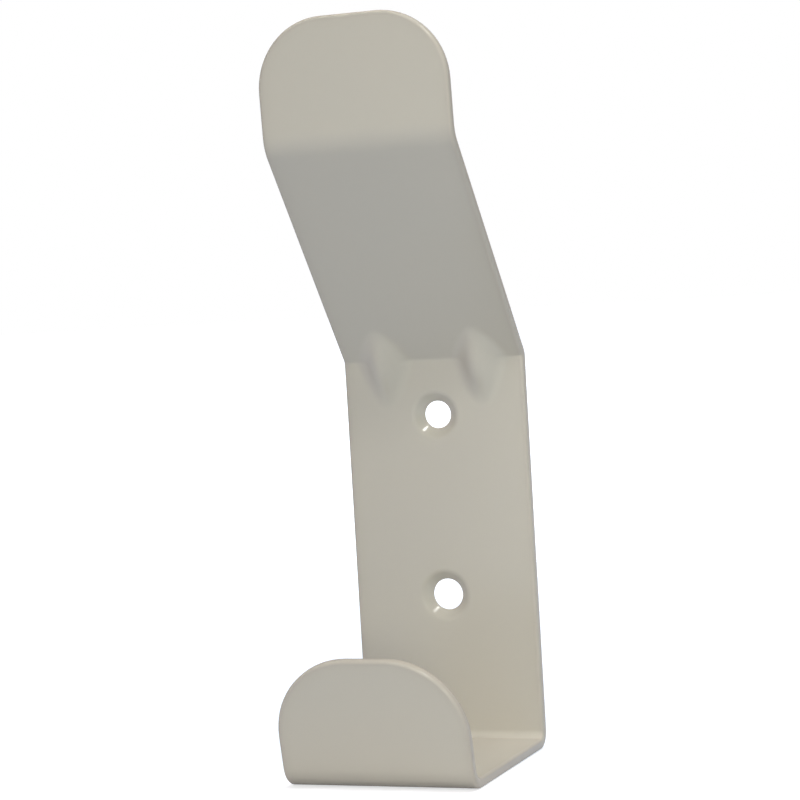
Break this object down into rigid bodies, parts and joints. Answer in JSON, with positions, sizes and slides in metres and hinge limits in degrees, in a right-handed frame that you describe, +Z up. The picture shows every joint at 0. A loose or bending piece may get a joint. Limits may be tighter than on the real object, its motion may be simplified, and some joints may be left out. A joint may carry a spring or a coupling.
{
  "type": "coat hook",
  "caption": "Wall coat hook bent from one strip of painted sheet steel: a lower coat hook, a raised hat tab, a screw plate and pressed stiffening darts.",
  "frame": {"origin": "on the face that meets the wall, on the strip's middle, half way between the two screw holes", "axes": "+Z up along the plate from the coat hook to the hat tab, +Y into the wall, +X across the strip, to the right for someone facing the hook"},
  "size_m": [0.03, 0.0375, 0.1135],
  "materials": {
    "paint": "satin, warm light grey"
  },
  "bodies": {
    "root": {"coat_hook": "paint"}
  },
  "joints": []
}
